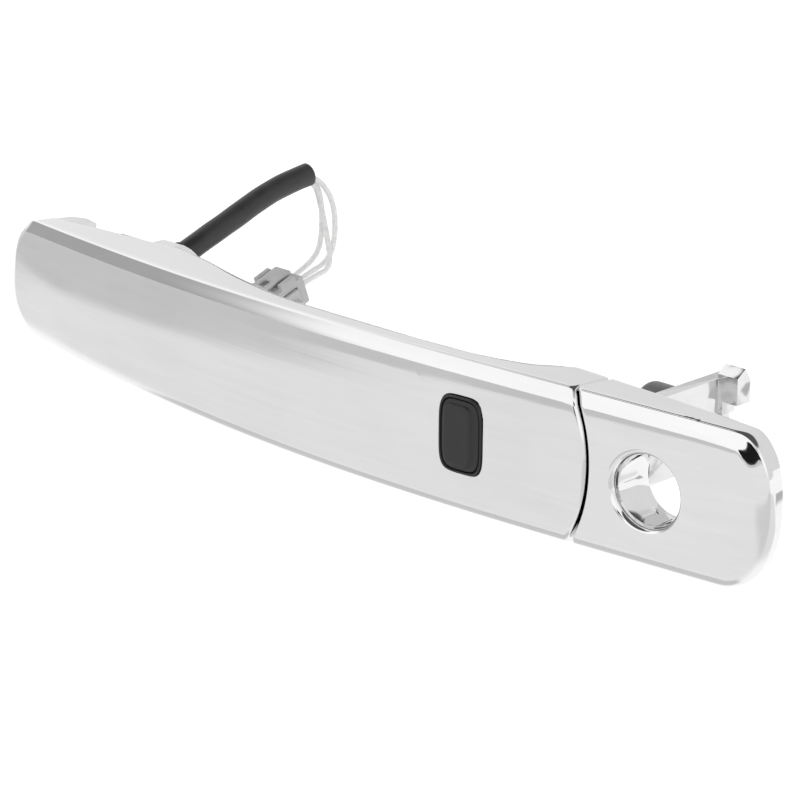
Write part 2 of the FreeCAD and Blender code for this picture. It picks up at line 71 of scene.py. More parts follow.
RIM = np.array([(-5, 15.5), (59, 15.5), (63, 15.2), (67, 14.4), (74, 12.8), (85.5, 9.3), (94, 7.2), (103.5, 5.2), (112, 4.1),
                (124, 3.6), (143, 4.0), (155, 4.5), (166, 5.6), (173, 7.1), (180, 9.4), (184, 12.2), (188.0, 15.45), (188.6, 15.5), (260, 15.5)])
LEFT = np.array([(28.0, 17.6), (19.9, 15.6), (14.2, 14.4), (10.0, 12.6), (6.4, 9.8), (4.0, 5.6), (2.7, 0.6), (2.2, -4.5),
                 (3.0, -8.8), (5.2, -12.2), (8.8, -14.8), (13.6, -16.3), (20.4, -17.3), (30.0, -18.6)])
RIGHT = np.array([(220.0, 24.0), (228.0, 18.9), (233.5, 16.9), (237.6, 15.6), (240.8, 13.0), (242.9, 9.4), (244.0, 4.5), (244.2, -1.0),
                  (243.8, -6.0), (242.6, -10.6), (240.6, -14.4), (237.6, -17.4), (233.0, -19.4), (227.0, -20.8), (220.0, -23.5)])
SPLIT_C = (169.0, 0.0)
SPLIT_R = 32.0
GAP = 0.7

# the front's edge, from the outline inwards: distance in from the edge, height in front of the rim line
D_TOP = np.array([0.0, 0.08, 0.18, 0.27, 0.38, 0.56, 0.85, 1.25, 1.80, 2.32, 2.72, 2.97, 3.22, 3.55])
H_TOP = np.array([0.0, 0.62, 1.06, 1.27, 1.39, 1.48, 1.59, 1.76, 2.01, 2.26, 2.43, 2.53, 2.60, 2.66])
D_BOT = np.array([0.0, 0.10, 0.24, 0.42, 0.62, 0.85, 1.12, 1.45, 1.85, 2.30, 2.80, 3.20, 3.60, 4.05])
H_BOT = np.array([-0.6, 0.0, 0.50, 0.92, 1.22, 1.46, 1.67, 1.88, 2.09, 2.30, 2.49, 2.60, 2.68, 2.74])
D_SPL = np.array([0.0, 0.05, 0.12, 0.20, 0.30, 0.42, 0.56, 0.72, 0.92, 1.20, 1.60, 2.10, 2.70, 3.40])
TAIL_D = np.array([4.5, 5.1, 5.8, 6.6, 40.0])
TAIL_T = np.array([2.75, 2.79, 2.815, 2.82, 2.82])
TAIL_B = np.array([2.78, 2.805, 2.818, 2.82, 2.82])
PT = (np.concatenate([D_TOP, TAIL_D]), np.concatenate([H_TOP, TAIL_T]))
PB = (np.concatenate([D_BOT, TAIL_D]), np.concatenate([H_BOT, TAIL_B]))
WALL = 2.05


def smooth01(t):
    t = np.clip(t, 0.0, 1.0)
    return t * t * (3 - 2 * t)


def soft_interp(x, table):
    """Piecewise cubic through a table, monotone, so that the front has no kinks."""
    xs, ys = table
    h = np.diff(xs)
    m = np.diff(ys) / h
    g = np.zeros_like(ys)
    g[0], g[-1] = m[0], 0.0
    for i in range(1, len(xs) - 1):
        if m[i - 1] * m[i] > 0:
            w1, w2 = 2 * h[i] + h[i - 1], h[i] + 2 * h[i - 1]
            g[i] = (w1 + w2) / (w1 / m[i - 1] + w2 / m[i])
    x = np.clip(x, xs[0], xs[-1])
    k = np.clip(np.searchsorted(xs, x) - 1, 0, len(xs) - 2)
    t = (x - xs[k]) / h[k]
    return (ys[k] * (1 + 2 * t) * (1 - t) ** 2 + g[k] * h[k] * t * (1 - t) ** 2
            + ys[k + 1] * t * t * (3 - 2 * t) + g[k + 1] * h[k] * t * t * (t - 1))


def crown(x, z):
    """The front's slow swelling between its bevels."""
    mid = 0.5 * (top(x) + bottom(x))
    q = np.clip(np.abs(z - mid) / (0.5 * (top(x) - bottom(x)) - 3.9), 0, 1)
    ends = smooth01((x - 3.0) / 26.0) * smooth01((240.5 - x) / 26.0)
    return 0.39 * (1 - q * q) ** 2 * ends


def rim_y(x):
    return soft_interp(np.asarray(x, float), (RIM[:, 0], RIM[:, 1]))


def catmull(pts, n=24):
    pts = np.asarray(pts, float)
    out = []
    for i in range(1, len(pts) - 2):
        p0, p1, p2, p3 = pts[i - 1], pts[i], pts[i + 1], pts[i + 2]
        for t in np.linspace(0, 1, n, endpoint=False):
            out.append(0.5 * ((2 * p1) + (-p0 + p2) * t + (2 * p0 - 5 * p1 + 4 * p2 - p3) * t * t + (-p0 + 3 * p1 - 3 * p2 + p3) * t ** 3))
    out.append(pts[-2])
    return np.array(out)


def resample(line, n):
    seg = np.linalg.norm(np.diff(line, axis=0), axis=1)
    s = np.concatenate([[0], np.cumsum(seg)])
    u = np.linspace(0, s[-1], n)
    return np.stack([np.interp(u, s, line[:, k]) for k in range(line.shape[1])], 1)


def relax(line, rounds):
    line = line.copy()
    for _ in range(rounds):
        line[1:-1] = 0.25 * line[:-2] + 0.5 * line[1:-1] + 0.25 * line[2:]
    return line


def end_curve(pts, x_join, n, side):
    """The rounded end from (x_join, top) round to (x_join, bottom)."""
    c = catmull(pts)
    inside = (c[:, 1] < top(c[:, 0])) & (c[:, 1] > bottom(c[:, 0]))
    c = c[inside]
    a = np.linspace(x_join, c[0, 0], 30)[:-1]
    b = np.linspace(c[-1, 0], x_join, 30)[1:]
    line = np.concatenate([np.stack([a, top(a)], 1), c, np.stack([b, bottom(b)], 1)])
    line = resample(line, n * 4)
    line = relax(line, 420)
    return resample(line, n)


def fillet(c, r):
    """How far back a surface turns at distance c from an edge rounded at radius r."""
    c = np.clip(c, 0, r)
    return r - np.sqrt(np.maximum(r * r - (r - c) ** 2, 0))


def make_object(name, verts, faces, mat, body, sharp=38.0, merge=2e-6):
    me = bpy.data.meshes.new(name)
    me.from_pydata([tuple(v) for v in verts], [], faces)
    bm = bmesh.new()
    bm.from_mesh(me)
    if merge:
        bmesh.ops.remove_doubles(bm, verts=bm.verts, dist=merge)
        bmesh.ops.dissolve_degenerate(bm, edges=bm.edges, dist=merge / 2)
    bmesh.ops.recalc_face_normals(bm, faces=bm.faces)
    for f in bm.faces:
        f.smooth = True
    lim = math.radians(sharp)
    for e in bm.edges:
        e.smooth = not (len(e.link_faces) == 2 and e.calc_face_angle(0) > lim)
    bm.to_mesh(me)
    bm.free()
    me.materials.append(mat)
    o = link(bpy.data.objects.new(name, me))
    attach(o, body)
    return o


# ------------------------------------------------------------------ materials
def new_mat(name):
    m = bpy.data.materials.new(name)
    m.use_nodes = True
    nt = m.node_tree
    b = nt.nodes["Principled BSDF"]
    return m, nt, b


def coords(nt, scale=(1, 1, 1), rot=(0, 0, 0)):
    tc = nt.nodes.new("ShaderNodeTexCoord")
    mp = nt.nodes.new("ShaderNodeMapping")
    mp.inputs["Scale"].default_value = scale
    mp.inputs["Rotation"].default_value = rot
    nt.links.new(tc.outputs["Object"], mp.inputs["Vector"])
    return mp.outputs["Vector"]


def noise(nt, vec, scale, detail=4.0, rough=0.55, distortion=0.0):
    n = nt.nodes.new("ShaderNodeTexNoise")
    n.inputs["Scale"].default_value = scale
    n.inputs["Detail"].default_value = detail
    n.inputs["Roughness"].default_value = rough
    n.inputs["Distortion"].default_value = distortion
    nt.links.new(vec, n.inputs["Vector"])
    return n.outputs["Fac"]


def ramp(nt, fac, stops):
    r = nt.nodes.new("ShaderNodeValToRGB")
    while len(r.color_ramp.elements) < len(stops):
        r.color_ramp.elements.new(0.5)
    for e, (p, c) in zip(r.color_ramp.elements, stops):
        e.position = p
        e.color = (*c, 1) if len(c) == 3 else c
    nt.links.new(fac, r.inputs["Fac"])
    return r.outputs["Color"]


def remap(nt, fac, a, b, c, d):
    m = nt.nodes.new("ShaderNodeMapRange")
    for k, v in zip(("From Min", "From Max", "To Min", "To Max"), (a, b, c, d)):
        m.inputs[k].default_value = v
    nt.links.new(fac, m.inputs["Value"])
    return m.outputs["Result"]


def bump(nt, b, height, strength, distance, normal=None):
    n = nt.nodes.new("ShaderNodeBump")
    n.inputs["Strength"].default_value = strength
    n.inputs["Distance"].default_value = distance
    nt.links.new(height, n.inputs["Height"])
    if normal is not None:
        nt.links.new(normal, n.inputs["Normal"])
    nt.links.new(n.outputs["Normal"], b.inputs["Normal"])
    return n.outputs["Normal"]


def grey(v):
    return (v, v, v * 1.004)


def chrome(name, lo, hi, streak=0.02, rough=(0.045, 0.10)):
    """Bright plating: fine polishing marks along the part, faint haze and wiping smears."""
    m, nt, b = new_mat(name)
    b.inputs["Metallic"].default_value = 1.0
    v = coords(nt, (9, 260, 420))
    marks = noise(nt, v, 1.0, 5.0, 0.6, 0.4)
    haze = noise(nt, coords(nt, (1, 1, 1)), 38.0, 3.0, 0.5, 0.3)
    mix = nt.nodes.new("ShaderNodeMath")
    mix.operation = "MULTIPLY_ADD"
    mix.inputs[1].default_value = 0.7
    nt.links.new(marks, mix.inputs[0])
    nt.links.new(remap(nt, haze, 0.3, 0.7, 0.05, 0.30), mix.inputs[2])
    nt.links.new(ramp(nt, mix.outputs[0], [(0.30, grey(lo)), (0.72, grey(hi))]), b.inputs["Base Color"])
    nt.links.new(remap(nt, haze, 0.35, 0.7, rough[0], rough[1]), b.inputs["Roughness"])
    bump(nt, b, marks, streak, 0.0006)
    return m


def plastic(name, lo, hi, rough=0.42, grain=0.12, scale=2600.0, tint=(1, 1, 1), spec=0.5, mottle=90.0, coat=0.0):
    """Moulded plastic: fine spark-eroded grain, slow mottling of the colour, a little gloss change."""
    m, nt, b = new_mat(name)
    v = coords(nt)
    big = noise(nt, v, mottle, 3.0, 0.5)
    fine = noise(nt, v, scale, 3.0, 0.6)
    cl = tuple(lo * t for t in tint)
    ch = tuple(hi * t for t in tint)
    nt.links.new(ramp(nt, big, [(0.33, cl), (0.68, ch)]), b.inputs["Base Color"])
    nt.links.new(remap(nt, fine, 0.3, 0.7, rough - 0.05, rough + 0.07), b.inputs["Roughness"])
    b.inputs["Specular IOR Level"].default_value = spec
    if coat:
        b.inputs["Coat Weight"].default_value = coat
        b.inputs["Coat Roughness"].default_value = 0.2
    bump(nt, b, fine, grain, 0.0001)
    return m


def rubber(name, lo, hi, rough=0.55, dust=0.0, grain=0.2):
    """Black rubber: skin grain, a few dust specks, gloss that changes softly."""
    m, nt, b = new_mat(name)
    v = coords(nt)
    fine = noise(nt, v, 3200.0, 3.0, 0.65)
    slow = noise(nt, v, 120.0, 3.0, 0.5)
    base = ramp(nt, slow, [(0.35, (lo, lo, lo * 1.05)), (0.68, (hi, hi, hi * 1.04))])
    if dust:
        vo = nt.nodes.new("ShaderNodeTexVoronoi")
        vo.inputs["Scale"].default_value = 620.0
        nt.links.new(v, vo.inputs["Vector"])
        dot = remap(nt, vo.outputs["Distance"], 0.05, 0.09, 1.0, 0.0)
        keep = remap(nt, noise(nt, v, 420.0, 2.0), 0.60, 0.66, 0.0, dust)
        mu = nt.nodes.new("ShaderNodeMath")
        mu.operation = "MULTIPLY"
        nt.links.new(dot, mu.inputs[0])
        nt.links.new(keep, mu.inputs[1])
        mx = nt.nodes.new("ShaderNodeMix")
        mx.data_type = "RGBA"
        mx.inputs["B"].default_value = (0.35, 0.35, 0.35, 1)
        nt.links.new(mu.outputs[0], mx.inputs["Factor"])
        nt.links.new(base, mx.inputs["A"])
        base = mx.outputs["Result"]
    nt.links.new(base, b.inputs["Base Color"])
    nt.links.new(remap(nt, slow, 0.3, 0.7, rough - 0.06, rough + 0.08), b.inputs["Roughness"])
    bump(nt, b, fine, grain, 0.00012)
    return m


def metal(name, lo, hi, rough=0.3, tint=(1, 1, 1), marks=(60, 60, 900), grain=0.15):
    m, nt, b = new_mat(name)
    b.inputs["Metallic"].default_value = 1.0
    n = noise(nt, coords(nt, marks), 1.0, 4.0, 0.6)
    spots = noise(nt, coords(nt), 700.0, 3.0, 0.6)
    nt.links.new(ramp(nt, spots, [(0.3, tuple(lo * t for t in tint)), (0.7, tuple(hi * t for t in tint))]), b.inputs["Base Color"])
    nt.links.new(remap(nt, n, 0.3, 0.7, rough - 0.08, rough + 0.1), b.inputs["Roughness"])
    bump(nt, b, n, grain, 0.00015)
    return m


CHROME_GRIP = chrome("grip_chrome", 0.745, 0.80)
CHROME_CAP = chrome("cap_chrome", 0.76, 0.81, 0.012, (0.035, 0.07))
CHROME_FRAME = chrome("frame_plating", 0.70, 0.76, 0.02, (0.06, 0.12))
BASE = plastic("base_plastic", 0.78, 0.84, 0.38, 0.10, spec=0.5, coat=0.15)
PLUG = plastic("plug_plastic", 0.47, 0.52, 0.45, 0.10)
PLUG_LEVER = plastic("plug_lever_plastic", 0.50, 0.55, 0.42, 0.10)
RETAINER = plastic("retainer_plastic", 0.54, 0.59, 0.42, 0.10)
ARM = plastic("arm_plastic", 0.085, 0.12, 0.34, 0.22, scale=1500.0)
BEZEL = plastic("bezel_plastic", 0.008, 0.012, 0.40, 0.16, scale=2200.0)
BUTTON = rubber("button_rubber", 0.012, 0.018, 0.50, 0.9, 0.16)
SLEEVE_M = rubber("sleeve_tube", 0.022, 0.034, 0.42, 0.25, 0.22)
GROMMET = rubber("grommet_rubber", 0.02, 0.03, 0.6)
GASKET = rubber("gasket_rubber", 0.03, 0.042, 0.8, 0.0, 0.5)
SEAL = rubber("seal_rubber", 0.04, 0.055, 0.65)
SCREW = metal("screw_steel", 0.50, 0.66, 0.32)
BRASS = metal("terminal_brass", 0.55, 0.75, 0.3, (1.0, 0.86, 0.5))
COPPER = metal("copper_wire", 0.45, 0.75, 0.35, (1.0, 0.5, 0.28), (2600, 20, 20), 0.6)
FERRITE = plastic("ferrite", 0.05, 0.085, 0.7, 0.5, 900.0)
BOBBIN = plastic("bobbin_plastic", 0.03, 0.045, 0.45, 0.15)
SWITCH = plastic("switch_plastic", 0.03, 0.05, 0.3, 0.08)
PLUNGER = plastic("plunger_plastic", 0.5, 0.6, 0.35, 0.06, tint=(1.0, 0.33, 0.12))
BOARD = plastic("board", 0.10, 0.16, 0.3, 0.15, 1200.0, tint=(0.25, 1.0, 0.5))


def wire_mat():
    """Thin milky insulation, a little see-through, with faint drawn lines."""
    m, nt, b = new_mat("wire_insulation")
    v = coords(nt)
    n = noise(nt, v, 500.0, 3.0, 0.5)
    nt.links.new(ramp(nt, n, [(0.3, (0.91, 0.91, 0.905)), (0.7, (0.95, 0.95, 0.945))]), b.inputs["Base Color"])
    nt.links.new(remap(nt, n, 0.3, 0.7, 0.22, 0.36), b.inputs["Roughness"])
    b.inputs["Transmission Weight"].default_value = 0.08
    b.inputs["IOR"].default_value = 1.36
    bump(nt, b, n, 0.08, 0.0001)
    return m


WIRE = wire_mat()
LEAD = plastic("lead_insulation", 0.72, 0.80, 0.3, 0.05)

for node, mat in {
        "grip_cover": CHROME_GRIP, "grip_base": BASE, "cover_screws": SCREW, "cable_grommet": GROMMET, "harness_sleeve": SLEEVE_M,
        "connector_housing": PLUG, "connector_lock_lever": PLUG_LEVER, "connector_retainer": RETAINER, "connector_terminals": BRASS,
        "harness_wire_a": WIRE, "harness_wire_b": WIRE, "harness_wire_c": WIRE, "switch_bezel": BEZEL, "switch_button": BUTTON,
        "switch_seal": SEAL, "switch_housing": SWITCH, "switch_plunger": PLUNGER, "circuit_board": BOARD, "antenna_bobbin": BOBBIN,
        "antenna_core": FERRITE, "antenna_coil": COPPER, "inner_leads": LEAD, "pull_arm": ARM, "arm_screws": SCREW,
        "cap_cover": CHROME_CAP, "cap_frame": CHROME_FRAME, "cap_gasket": GASKET, "foot_gasket": GASKET}.items():
    for s in NODES[node].material_slots:
        s.material = mat


# ------------------------------------------------------------------ camera
C = Vector((0.4205, -0.5007, 0.2396))
right = Vector((0.7055, 0.7087, 0.0044)).normalized()
fwd = Vector((-0.6697, 0.6688, -0.3229)).normalized()
up = right.cross(fwd).normalized()
right = fwd.cross(up).normalized()
cam_data = bpy.data.cameras.new("camera")
cam_data.lens = 151.3
cam_data.sensor_width = 36.0
cam_data.clip_start = 0.01
cam = link(bpy.data.objects.new("camera", cam_data))
m = Matrix((right, up, -fwd)).transposed().to_4x4()
m.translation = C
cam.matrix_world = m
bpy.context.scene.camera = cam


# ------------------------------------------------------------------ cords
def nurbs(name, pts, radius=0.0, res=20):
    cu = bpy.data.curves.new(name, "CURVE")
    cu.dimensions = "3D"
    sp = cu.splines.new("NURBS")
    sp.points.add(len(pts) - 1)
    for p, q in zip(sp.points, pts):
        p.co = (*ROW(q), 1.0)
    sp.order_u = 3
    sp.use_endpoint_u = True
    sp.resolution_u = res
    cu.resolution_u = res
    cu.bevel_depth = radius
    cu.bevel_resolution = 7
    cu.use_fill_caps = radius > 0
    return link(bpy.data.objects.new(name, cu))


def line_of(pts):
    """Points on the route's own smooth line, in metres."""
    o = nurbs("route_tmp", pts, 0.0, 16)
    me = bpy.data.meshes.new_from_object(o)
    p = np.array([v.co[:] for v in me.vertices])
    cu = o.data
    bpy.data.objects.remove(o)
    bpy.data.curves.remove(cu)
    bpy.data.meshes.remove(me)
    return p


def frames(path):
    """Rotation-free frames along a path."""
    t = np.gradient(path, axis=0)
    t /= np.linalg.norm(t, axis=1)[:, None]
    n = np.cross(t[0], [1.0, 0.0, 0.0])
    n /= np.linalg.norm(n)
    out = []
    for k in range(len(path)):
        n = n - t[k] * np.dot(n, t[k])
        n /= np.linalg.norm(n)
        out.append((t[k], n, np.cross(t[k], n)))
    return out


SLEEVE = [(52.0, 18.58, 8.2), (52.0, 30.2, 12.8), (52.1, 40.2, 16.2), (52.2, 50.4, 20.1), (52.2, 58.6, 22.0), (52.2, 65.6, 22.8)]
WIRE_A = [(51.35, 62.67, 22.92), (51.6, 66.9, 22.6), (52.6, 69.6, 17.2), (55.4, 67.4, 9.4), (57.4, 64.0, 3.6), (58.77, 55.72, 0.74), (58.77, 50.04, -1.33)]
WIRE_B = [(53.05, 62.67, 22.92), (53.2, 67.4, 22.4), (55.8, 70.8, 16.2), (58.9, 68.7, 8.4), (60.5, 64.8, 2.5), (61.2, 55.72, 0.74), (61.2, 50.04, -1.33)]
WIRE_C = [(52.2, 62.83, 21.53), (52.3, 67.5, 21.2), (53.8, 68.4, 14.8), (58.8, 65.9, 7.6), (63.5, 62.7, 1.7), (63.63, 55.72, 0.74), (63.63, 50.04, -1.33)]

sleeve_path = line_of(SLEEVE)


def tube(name, path, radius, bore, depth, mat, body):
    """A tube with a closed near end and an open, bored far end."""
    fr = frames(path)
    n_around = 40
    ang = np.linspace(0, 2 * np.pi, n_around, endpoint=False)
    s = np.concatenate([[0], np.cumsum(np.linalg.norm(np.diff(path, axis=0), axis=1))])
    rings = []
    for k, p in enumerate(path):
        t, a, b = fr[k]
        u = s[k] / s[-1]
        # soft tubing: never quite round, with slow swellings and a few tiny kinks
        r = radius * (1 - 0.018 * (0.5 + 0.5 * np.sin(9.0 * u + 2 * np.cos(ang + 4 * u))) - 0.012 * (0.5 + 0.5 * np.sin(37 * u + ang * 2)))
        rings.append(p + np.outer(np.cos(ang) * r, a) + np.outer(np.sin(ang) * r, b))
    t, a, b = fr[-1]
    end = path[-1]
    edge = 0.00012
    last = rings.pop()
    rings.append(end - t * edge + (last - end))
    rings.append(end + (last - end) * (1 - edge / radius))
    circle = np.outer(np.cos(ang), a) + np.outer(np.sin(ang), b)
    rings.append(end + circle * (bore + edge))
    rings.append(end - t * edge + circle * bore)
    # the bore follows the path back
    for d in np.linspace(0.0012, depth, 5):
        k = int(np.searchsorted(s, s[-1] - d))
        k = min(max(k, 1), len(path) - 1)
        f = (s[-1] - d - s[k - 1]) / (s[k] - s[k - 1])
        q = path[k - 1] * (1 - f) + path[k] * f
        tt, aa, bb = fr[k]
        rings.append(q + np.outer(np.cos(ang), aa) * bore + np.outer(np.sin(ang), bb) * bore)
    verts = np.concatenate(rings)
    faces = []
    for j in range(len(rings) - 1):
        for i in range(n_around):
            k = (i + 1) % n_around
            faces.append((j * n_around + i, j * n_around + k, (j + 1) * n_around + k, (j + 1) * n_around + i))
    faces.append(tuple(range(n_around))[::-1])
    faces.append(tuple((len(rings) - 1) * n_around + i for i in range(n_around)))
    return make_object(name, verts, faces, mat, body, 50.0)


sleeve = tube("sleeve", sleeve_path, 0.0029, 0.0023, 0.0030, SLEEVE_M, "grip")
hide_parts("harness_sleeve")
wires = []
for tag, pts in (("a", WIRE_A), ("b", WIRE_B), ("c", WIRE_C)):
    w = nurbs("wire_" + tag, pts, 0.0007)
    w.data.materials.append(WIRE)
    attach(w, "grip")
    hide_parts("harness_wire_" + tag)
    wires.append((w, pts))


# ------------------------------------------------------------------ the chrome grip cover
def perimeter_rows(kind, d_extra=0.0):
    """Rows of X, Z points round the outline; row j is set in by the j-th edge distance. Also a table of the loop's
    parts and side stations.
    """
    nj = len(D_TOP)
    if kind == "grip":
        xj, n_end, n_side, n_split = 30.0, 150, 190, 60
        end = end_curve(LEFT, xj, n_end, "left")
        sgn = 1.0
    else:
        xj, n_end, n_side, n_split = 226.5, 170, 42, 64
        end = end_curve(RIGHT, xj, n_end, "right")
        sgn = -1.0
    # side stations: 0 at xj, 1 at the split line, closer together near the split
    u = np.linspace(0, 1, n_side)
    span = abs(197.0 - xj)
    w = u.copy()
    tailw = min(5.0 / span, 0.3)
    w = (1 - tailw) * u
    w = np.concatenate([w[:-1] * 1.0, 1 - tailw * (1 - np.linspace(0, 1, 14)) ** 1.6])
    w = np.unique(np.round(w, 7))
    tang = np.gradient(end, axis=0)
    tang /= np.linalg.norm(tang, axis=1)[:, None]
    nor = np.stack([-tang[:, 1], tang[:, 0]], 1)
    centre = np.array([40.0 if kind == "grip" else 215.0, -1.0])
    flip = np.sign(((centre - end) * nor).sum(1))
    nor *= flip[:, None]
    # turn the normals to plain up and down where the end meets the sides
    m = np.linspace(0, 1, len(end))
    edge = np.clip(np.minimum(m, 1 - m) / 0.06, 0, 1)[:, None]
    flat = np.stack([np.zeros(len(end)), np.where(m < 0.5, -1.0, 1.0)], 1)
    nor = nor * smooth01(edge) + flat * (1 - smooth01(edge))
    nor /= np.linalg.norm(nor, axis=1)[:, None]
    bmix = smooth01((end[:, 1].max() * 0.55 - end[:, 1]) / (end[:, 1].max() * 0.55 - end[:, 1].min() * 0.6))
    if kind == "cap":
        wide = 1 + 0.16 * smooth01((0.5 - np.abs(m - 0.5)) / 0.28)
    else:
        wide = np.ones(len(end))
    rows = []
    split_v = np.concatenate([np.linspace(0, 1, n_split)[1:-1]])
    for j in range(nj):
        dt, db, ds = D_TOP[j] + d_extra, D_BOT[j] + d_extra, D_SPL[j] + d_extra

        def XS(z):
            if kind == "grip":
                return SPLIT_C[0] + np.sqrt((SPLIT_R - ds) ** 2 - z ** 2)
            return SPLIT_C[0] + np.sqrt((SPLIT_R + GAP + ds) ** 2 - z ** 2)

        def side(lawz, off):
            z = np.full(len(w), lawz(xj) + off)
            for _ in range(6):
                x = xj + (XS(z) - xj) * w
                z = lawz(x) + off
            return np.stack([x, z], 1)
        t_side = side(top, -dt)          # from xj to the split
        b_side = side(bottom, db)
        d_end = (dt * (1 - bmix) + db * bmix) * wide
        e = end + nor * d_end[:, None]
        e[0] = t_side[0]
        e[-1] = b_side[0]
        z = t_side[-1, 1] + (b_side[-1, 1] - t_side[-1, 1]) * split_v
        s_side = np.stack([XS(z), z], 1)
        # order: top side from the split to xj, the end, bottom side from xj to the split, the split upwards
        loop = np.concatenate([t_side[::-1], e[1:-1], b_side, s_side[::-1]])
        rows.append(loop)
    n = len(rows[0])
    nt_, ne, nb, ns = len(w), len(end) - 2, len(w), len(split_v)
    part = np.concatenate([np.zeros(nt_), np.ones(ne), np.full(nb, 2), np.full(ns, 3)]).astype(int)
    info = {"part": part, "n": n, "w": w, "end": end, "bmix": bmix, "wide": wide, "split_v": split_v, "xj": xj}
    return rows, info


def front_height(kind, x, z, info):
    """Depth Y of the front surface at X, Z."""
    shape = x.shape
    x, z = x.ravel(), z.ravel()
    ht = soft_interp(top(x) - z, PT)
    hb = soft_interp(z - bottom(x), PB)
    rho = np.sqrt((x - SPLIT_C[0]) ** 2 + (z - SPLIT_C[1]) ** 2)
    if kind == "grip":
        h = np.minimum(ht, hb) + crown(x, z)
        y = bow(x) - h
        y += fillet(np.where(x > 150, SPLIT_R - rho, 99.0), 1.0)
        near = x < 34
        if near.any():
            line = info["end"]
            d2 = ((x[near, None] - line[None, :, 0]) ** 2 + (z[near, None] - line[None, :, 1]) ** 2)
            k = d2.argmin(1)
            d = np.sqrt(d2[np.arange(len(k)), k])
            # the end's own rounding fades out where the end runs into the long sides
            lk = line[k]
            off = np.minimum(top(lk[:, 0]) - lk[:, 1], lk[:, 1] - bottom(lk[:, 0]))
            y[near] += fillet(d, 3.4) * smooth01(off / 3.2)
    else:
        h = np.minimum(ht, hb)
        near = x > 219.5
        if near.any():
            line = np.concatenate([np.stack([np.linspace(212, 226.5, 40)[:-1], top(np.linspace(212, 226.5, 40)[:-1])], 1), info["end"],
                                   np.stack([np.linspace(226.5, 212, 40)[1:], bottom(np.linspace(226.5, 212, 40)[1:])], 1)])
            wide = np.concatenate([np.ones(39), info["wide"], np.ones(39)])
            bm_ = np.concatenate([np.zeros(39), info["bmix"], np.ones(39)])
            xx, zz = x[near], z[near]
            hh = np.empty(len(xx))
            for a in range(0, len(xx), 4000):
                d2 = ((xx[a:a + 4000, None] - line[None, :, 0]) ** 2 + (zz[a:a + 4000, None] - line[None, :, 1]) ** 2)
                k = d2.argmin(1)
                d = np.sqrt(d2[np.arange(len(k)), k]) / wide[k]
                hh[a:a + 4000] = soft_interp(d, PT) * (1 - bm_[k]) + soft_interp(d, PB) * bm_[k]
            t = smooth01((xx - 219.5) / 5.0)
            h[near] = h[near] * (1 - t) + hh * t
        y = bow(x) - h - crown(x, z)
        y += fillet(rho - SPLIT_R - GAP, 1.0)
    return y.reshape(shape)


def grid_faces(nr, n, start=0):
    return [(start + j * n + i, start + j * n + (i + 1) % n, start + (j + 1) * n + (i + 1) % n, start + (j + 1) * n + i)
            for j in range(nr - 1) for i in range(n)]


def wall_rows(kind, rows, info, y_edge):
    """Rows of the side wall from the front's edge back to the rim, then the rim and the inside wall."""
    loop = rows[0]
    rim = rim_y(loop[:, 0]) if kind == "grip" else np.full(len(loop), 15.5)
    inner = rows_inset(kind, loop, info, 0.45)
    deep = rows_inset(kind, loop, info, WALL)
    taper = np.where(info["part"] == 3, 0.0, 1.0)
    out = []
    for t in (0.0, 0.03, 0.08, 0.16, 0.28, 0.42, 0.58, 0.74, 0.88, 0.96):
        k = (taper * t)[:, None]
        p = loop * (1 - k) + inner * k
        out.append(np.column_stack([p[:, 0], y_edge + (rim - y_edge) * t, p[:, 1]]))
    a = rows_inset(kind, loop, info, 0.55)
    out.append(np.column_stack([a[:, 0], rim - 0.04, a[:, 1]]))
    a = rows_inset(kind, loop, info, 0.75)
    out.append(np.column_stack([a[:, 0], rim, a[:, 1]]))
    a = rows_inset(kind, loop, info, WALL - 0.15)
    out.append(np.column_stack([a[:, 0], rim, a[:, 1]]))
    out.append(np.column_stack([deep[:, 0], rim - 0.15, deep[:, 1]]))
    return out, deep, rim


def rows_inset(kind, loop, info, d):
    """The outline moved inwards by d, square corners kept."""
    key = (kind, round(d, 4))
    if key not in _inset:
        keep = D_TOP.copy(), D_BOT.copy(), D_SPL.copy()
        D_TOP[0] = D_BOT[0] = D_SPL[0] = d
        r, _ = perimeter_rows(kind)
        D_TOP[:], D_BOT[:], D_SPL[:] = keep
        _inset[key] = r[0]
    return _inset[key]


_inset = {}
rows, info = perimeter_rows("grip")
N = info["n"]
S0, S1 = 30.0, 190.0


def spine_x(w):
    """The spine's stations: under the side stations, then drawn together before the split line."""
    x = S0 + (201.0 - S0) * w
    x0 = 179.5
    return np.where(x > x0, x0 + (x - x0) * (S1 - x0) / (201.0 - x0), x)


spoke = np.empty((N, 2))
part = info["part"]
wt = info["w"][::-1]
spoke[part == 0, 0] = spine_x(wt)
spoke[part == 1, 0] = S0
spoke[part == 2, 0] = spine_x(info["w"])
spoke[part == 3, 0] = S1
spoke[:, 1] = 0.5 * (top(spoke[:, 0]) + bottom(spoke[:, 0]))
front = list(rows)
for t in np.linspace(0, 1, 17)[1:]:
    front.append(rows[-1] * (1 - t) + spoke * t)
FX = np.array([r[:, 0] for r in front])
FZ = np.array([r[:, 1] for r in front])
FY = front_height("grip", FX, FZ, info)
wall, deep, rim = wall_rows("grip", rows, info, FY[0])

verts, faces = [], []
NR = len(front)
for j in range(NR):
    verts.extend(np.column_stack([FX[j], FY[j], FZ[j]]))
front_faces = grid_faces(NR, N)
base_w = len(verts)
for r in wall[1:]:
    verts.extend(r)
faces_w = grid_faces(len(wall) - 1, N, base_w)
faces_w += [(i, (i + 1) % N, base_w + (i + 1) % N, base_w + i) for i in range(N)]
